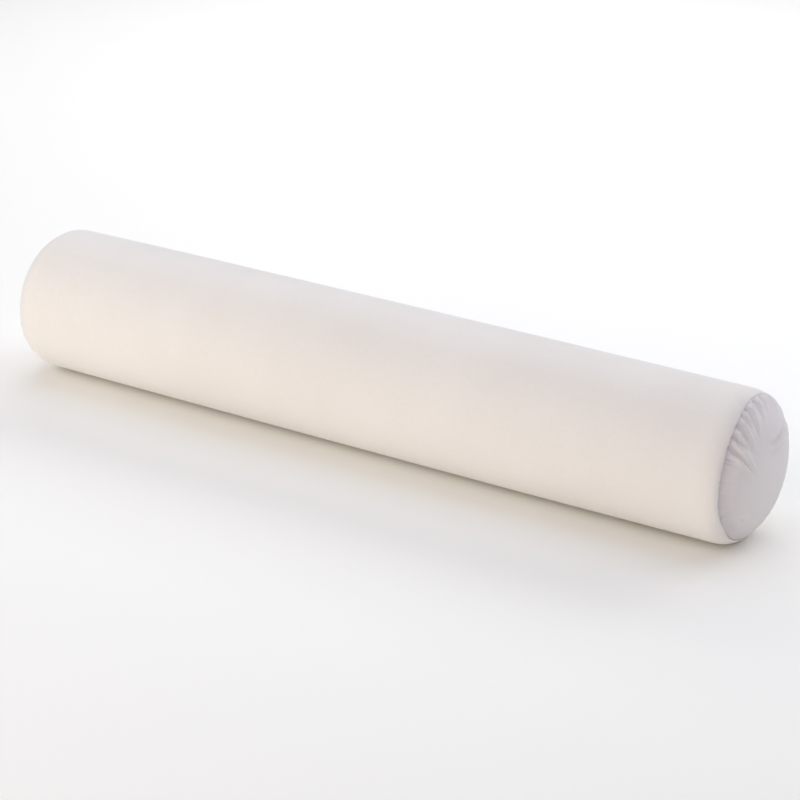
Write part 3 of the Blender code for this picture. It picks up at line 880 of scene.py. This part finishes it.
def make_coil(name, side, finish):
    """One side's coil: a single monofilament wound along the tape's edge. The two sides' loops take
    turns along the middle line."""
    per_turn = 12
    turns = int(2 * ZIP_HALF / COIL_PITCH) - 1
    start = -ZIP_HALF + COIL_WIRE + (0.5 * COIL_PITCH if side > 0 else 0)
    path = []
    for k in range(turns * per_turn + 1):
        t = 2 * math.pi * k / per_turn
        lean = 0.00018 * math.sin(t)
        s = side * (COIL_MIDDLE[0] + COIL_REACH[0] * math.cos(t))
        r = COIL_MIDDLE[1] + COIL_REACH[1] * math.sin(t)
        path.append((around(start + COIL_PITCH * k / per_turn + lean, s, r), ALONG))
    verts, faces = tube_along([path], COIL_WIRE, sides=6)
    add_object(name + "_teeth", mesh_from(name, verts, faces), ROLLER, finish, [name])


def make_stitches(name, runs, radius, finish):
    """Stitches as short threads. A run is a list of five points with their side vector."""
    verts, faces = [], []
    for run in runs:
        more, quads = tube_along([run], [radius * k for k in (0.35, 0.85, 1.0, 0.85, 0.35)], sides=6)
        base = len(verts)
        verts += more
        faces += [tuple(i + base for i in quad) for quad in quads]
    add_object(name, mesh_from(name, verts, faces), ROLLER, finish)


STITCH_PARTS = -0.5, -0.3, 0, 0.3, 0.5


def lip_stitches():
    """Two rows along each lip of the zip, which run on a little way past its ends."""
    runs = []
    pitch, length = 0.0031, 0.0023
    count = int(2 * (LIP_REACH + 0.009) / pitch)
    for side in (-1, 1):
        for line in HEM_LINES:
            for k in range(count):
                middle = (k - (count - 1) / 2) * pitch
                sway = 0.00006 * math.sin(k * 2.4)
                run = []
                for part, lift in zip(STITCH_PARTS, (-0.00022, 0.00002, 0.00010, 0.00002, -0.00022)):
                    x = middle + part * length
                    s = lip_gap(x) + line
                    r = body_radius(x) + hem_rise(line) + lift
                    across = around(x, side * s + 0.001, r) - around(x, side * s, r)
                    run.append((around(x, side * (s + sway), r), across))
                runs.append(run)
    return runs


def bar_tacks():
    """A close zigzag of thread across the seam at each end of the zip."""
    runs = []
    for end in (-1, 1):
        for k in range(15):
            x = end * (LIP_REACH + 0.0042 + 0.00021 * k)
            lean = 0.00012 if k % 2 else -0.00012
            run = []
            for part, lift in zip((-0.5, -0.28, 0, 0.28, 0.5), (-0.0004, 0.0003, 0.00038, 0.0003, -0.0004)):
                r = body_radius(x) + 0.0002 + lift
                run.append((around(x + lean * part, part * 0.0112, r), ALONG))
            runs.append(run)
    return runs


def slab(name, outline, low, high):
    """A flat plate with the given outline of (x, s), from r = low to high."""
    work = bmesh.new()
    verts = [work.verts.new((x, s, low)) for x, s in outline]
    face = work.faces.new(verts)
    more = bmesh.ops.extrude_face_region(work, geom=[face])
    for item in more["geom"]:
        if isinstance(item, bmesh.types.BMVert):
            item.co.z = high
    bmesh.ops.recalc_face_normals(work, faces=work.faces)
    mesh = bpy.data.meshes.new(name)
    work.to_mesh(mesh)
    work.free()
    return mesh


def joined(name, meshes):
    work = bmesh.new()
    for mesh in meshes:
        work.from_mesh(mesh)
    mesh = bpy.data.meshes.new(name)
    work.to_mesh(mesh)
    work.free()
    return mesh


def cast(mesh, voxel, rounds=4):
    """Melts overlapping solids into one, with softened edges as a casting has."""
    obj = bpy.data.objects.new("casting", mesh)
    bpy.context.scene.collection.objects.link(obj)
    melt = obj.modifiers.new("melt", "REMESH")
    melt.mode = "VOXEL"
    melt.voxel_size = voxel
    soften = obj.modifiers.new("soften", "SMOOTH")
    soften.iterations = rounds
    soften.factor = 0.5
    graph = bpy.context.evaluated_depsgraph_get()
    made = bpy.data.meshes.new_from_object(obj.evaluated_get(graph), depsgraph=graph)
    bpy.data.objects.remove(obj)
    made.shade_smooth()
    return made


def rounded_outline(corners, radius, steps=4):
    """An outline of (x, s) with its corners rounded."""
    points = []
    count = len(corners)
    for k, corner in enumerate(corners):
        here = Vector(corner)
        back = (Vector(corners[k - 1]) - here).normalized()
        ahead = (Vector(corners[(k + 1) % count]) - here).normalized()
        start, end = here + back * radius, here + ahead * radius
        for i in range(steps + 1):
            t = i / steps
            points.append(tuple(start * (1 - t) ** 2 + here * (2 * t * (1 - t)) + end * t * t))
    return points


def make_slider(finish):
    """The slider: wings with turned-down sides, the wedge between the coils, and the bridge over the
    pull."""
    half = 0.0055
    lower_side = [(-half, -0.0026), (-0.0040, -0.0043), (0.0004, -0.0043), (half, -0.0037)]
    wing = rounded_outline(lower_side + [(x, -s) for x, s in reversed(lower_side)], 0.0006)
    wedge = [(-0.0043, -0.0003), (0.0007, -0.0003), (0.0007, 0.0003), (-0.0043, 0.0003)]
    solids = [
        slab("upper", wing, WING_BOTTOM, WING_TOP),
        slab("lower", wing, TAPE_IN - 0.0014, TAPE_IN - 0.0003),
        slab("wedge", wedge, TAPE_IN - 0.0006, WING_BOTTOM + 0.0003),
    ]
    for side in (-1, 1):
        near, far = side * 0.0035, side * 0.0043
        turned_down = [(-0.0038, near), (0.0022, near), (0.0022, far), (-0.0038, far)]
        solids.append(slab("side", turned_down, 0.0787, WING_BOTTOM + 0.0003))
    rise = BRIDGE_TOP - WING_TOP
    bridge = []
    for k in range(17):
        a = math.pi * k / 16
        x = -0.0034 * math.copysign(abs(math.cos(a)) ** 0.55, math.cos(a))
        r = WING_TOP - 0.0003 + (rise + 0.0003) * abs(math.sin(a)) ** 0.55
        bridge.append((Vector((x, 0, r)), Vector((0, 1, 0))))
    verts, faces = tube_along([bridge], 0.00078, sides=12, flat=0.56)
    solids.append(mesh_from("bridge", verts, faces))
    mesh = placed(cast(joined("slider", solids), 0.00013), SLIDER_X)
    add_object("zip_slider_casting", mesh, SLIDER, finish, ["zip_slider"])


def make_pull(finish):
    """The pull tab: a stamped tab with an eye for the bridge, a sunk panel and a hole near its tip."""
    bar, wide = 0.0005, 0.0027
    lower_side = [(-bar, -wide), (0.0062, -wide), (0.0086, -0.0022), (0.0235, -wide), (0.026, -0.0016)]
    body = rounded_outline(lower_side + [(x, -s) for x, s in reversed(lower_side)], 0.0005)
    tab = bpy.data.objects.new("tab", slab("tab", body, PIVOT - 0.0005, PIVOT + 0.0005))
    bpy.context.scene.collection.objects.link(tab)
    turns = np.linspace(0, 2 * math.pi, 25)[:-1]
    round_hole = [(0.0228 + 0.0009 * math.cos(a), 0.0009 * math.sin(a)) for a in turns]
    eye = rounded_outline([(bar, -0.0016), (0.0046, -0.0016), (0.0046, 0.0016), (bar, 0.0016)], 0.0006)
    panel = [(0.0080, -0.0012), (0.0205, -0.0015), (0.0205, 0.0015), (0.0080, 0.0012)]
    panel = rounded_outline(panel, 0.0008)
    past, sunk = 0.002, 0.00028
    cuts = [("eye", eye, -past, past), ("hole", round_hole, -past, past)]
    cuts += [("panel", panel, sunk, past), ("panel_under", panel, -past, -sunk)]
    cutters = []
    for name, outline, low, high in cuts:
        cutter = bpy.data.objects.new(name, slab(name, outline, PIVOT + low, PIVOT + high))
        bpy.context.scene.collection.objects.link(cutter)
        cutters.append(cutter)
        cut = tab.modifiers.new(name, "BOOLEAN")
        cut.operation, cut.object = "DIFFERENCE", cutter
    graph = bpy.context.evaluated_depsgraph_get()
    solid = bpy.data.meshes.new_from_object(tab.evaluated_get(graph), depsgraph=graph)
    for obj in [tab, *cutters]:
        bpy.data.objects.remove(obj)
    mesh = placed(cast(solid, 0.00011, 3), SLIDER_X)
    add_object("zip_pull_tab", mesh, PULL, finish, ["zip_pull"])


def make_stop(name, near, far, finish):
    """A metal stop clamped on the tape: a low bar with ribs across it. It runs from s = near to far."""
    low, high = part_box(name)
    half = (high.x - low.x) / 2
    solids = [slab("bar", [(-half, near), (half, near), (half, far), (-half, far)], 0.07865, 0.0798)]
    count = round(half / 0.0007)
    for k in range(count):
        x = (k - (count - 1) / 2) * 2 * half / count
        left, right, low_s, high_s = x - 0.0004, x + 0.0004, near + 0.0001, far - 0.0001
        rib = [(left, low_s), (right, low_s), (right, high_s), (left, high_s)]
        solids.append(slab("rib", rib, 0.0792, 0.0802))
    mesh = placed(cast(joined(name, solids), 0.00011), (low.x + high.x) / 2)
    add_object(name + "_clamp", mesh, ROLLER, finish, [name])


LABEL_LOW, LABEL_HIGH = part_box("care_label")
LABEL_X = (LABEL_LOW.x + LABEL_HIGH.x) / 2
LABEL_WIDTH = LABEL_HIGH.x - LABEL_LOW.x
LABEL_TOP, LABEL_DROP = 0.0050, 0.0405
LABEL_CLOTH = 0.00016
LABEL_CLEAR = 0.0004


def make_label(finish):
    """A blank folded ribbon, sewn down beside the zip's lower lip. Its folded end stands off the
    cover."""
    path = []
    for share in np.linspace(0, 1, 34):
        path.append((LABEL_TOP + LABEL_DROP * share, 0.00062, share))
    for turn in np.linspace(0, math.pi, 7)[1:-1]:
        s = LABEL_TOP + LABEL_DROP + 0.0002 * math.sin(turn)
        path.append((s, 0.00042 + 0.0002 * math.cos(turn), 1.0))
    for share in np.linspace(1, 0, 34):
        path.append((LABEL_TOP + LABEL_DROP * share, 0.00022, share))
    points = []
    for s, height, share in path:
        row = []
        for across in np.linspace(-0.5, 0.5, 25):
            lift = 0.0016 * share**3 * (1 + 0.6 * (2 * across) ** 2)
            lift += 0.00012 * math.sin(9 * share + 3 * across)
            wave = 0.0003 * share * math.sin(6 * across + 1.0)
            x = LABEL_X + across * LABEL_WIDTH * 0.985
            row.append(around(x, s, body_radius(x) + LABEL_CLEAR + height + max(0.0, lift + wave * share)))
        points.append(row)
    mesh = grid_mesh("care_label_ribbon", points)
    label = add_object("care_label_ribbon", mesh, ROLLER, finish, ["care_label"])
    thick = label.modifiers.new("cloth", "SOLIDIFY")
    thick.thickness = LABEL_CLOTH
    thick.offset = 0
    apply_modifiers(label)


def label_stitches():
    runs = []
    for k in range(9):
        middle = LABEL_X + (k - 4) * 0.0031
        run = []
        for part, lift in zip(STITCH_PARTS, (-0.0003, 0.00012, 0.0002, 0.00012, -0.0003)):
            x = middle + part * 0.0023
            s = LABEL_TOP + 0.0022
            r = body_radius(x) + LABEL_CLEAR + 0.0007 + lift
            run.append((around(x, s, r), around(x, s + 0.001, r) - around(x, s, r)))
        runs.append(run)
    return runs


def refinish(node, finish):
    """Gives a kept CAD node its finish."""
    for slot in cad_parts[node].material_slots:
        slot.material = finish


# ---------------------------------------------------------------- build

make_camera()
make_studio()

# The end panels' colour is the tube cloth's, painted darker and bluer: painted shade.
COVER, COVER_END_SHADED = (0.86, 0.82, 0.775), (0.838, 0.792, 0.783)
cover_tube_finish = cloth_finish("brushed_cover_cloth", COVER, 0.0009)
shaded_end_finish = cloth_finish("brushed_end_cloth_painted_shade", COVER_END_SHADED, 0.0009, kind="end")
casing_finish = woven_finish("casing_lining", (0.80, 0.79, 0.76), 0.0006)
tape_finish = woven_finish("zip_tape_weave", (0.80, 0.77, 0.73), 0.0005)
satin_finish = woven_finish("label_satin", (0.80, 0.785, 0.755), 0.0003, sheen=0.2, roughness=0.5)
firm_finish = foam_finish("firm_foam", (0.42, 0.47, 0.54), 0.0022, 0.5)
soft_finish = foam_finish("soft_foam", (0.82, 0.79, 0.68), 0.0012, 0.35)
nylon = nylon_finish("nylon_coil", (0.83, 0.81, 0.77))
nickel = metal_finish("nickel_plate", (0.52, 0.51, 0.49), 0.26)
thread_finish = cloth_finish("sewing_thread", (0.82, 0.78, 0.73), 0.00035, kind="thread", nap=0.2)

make_cover_tube(cover_tube_finish)
make_end("cover_end_cloth_right", 1, shaded_end_finish, "cover_end_right")
make_end("cover_end_cloth_left", -1, shaded_end_finish, "cover_end_left")
make_tape("zip_tape_upper", -1, tape_finish)
make_tape("zip_tape_lower", 1, tape_finish)
make_coil("zip_coil_upper", -1, nylon)
make_coil("zip_coil_lower", 1, nylon)
make_slider(nickel)
make_pull(nickel)
make_label(satin_finish)
make_stitches("zip_topstitching", lip_stitches(), 0.00023, thread_finish)
make_stitches("zip_bar_tacks", bar_tacks(), 0.00016, thread_finish)
make_stitches("label_stitches", label_stitches(), 0.0002, thread_finish)
make_stop("zip_top_stop_upper", -0.0032, -0.0006, nickel)
make_stop("zip_top_stop_lower", 0.0006, 0.0032, nickel)
make_stop("zip_bottom_stop", -0.0032, 0.0032, nickel)
refinish("core_roll", firm_finish)
for node in ("padding_wrap", "end_pad_left", "end_pad_right"):
    refinish(node, soft_finish)
for node in ("casing_tube", "casing_end_left", "casing_end_right"):
    refinish(node, casing_finish)
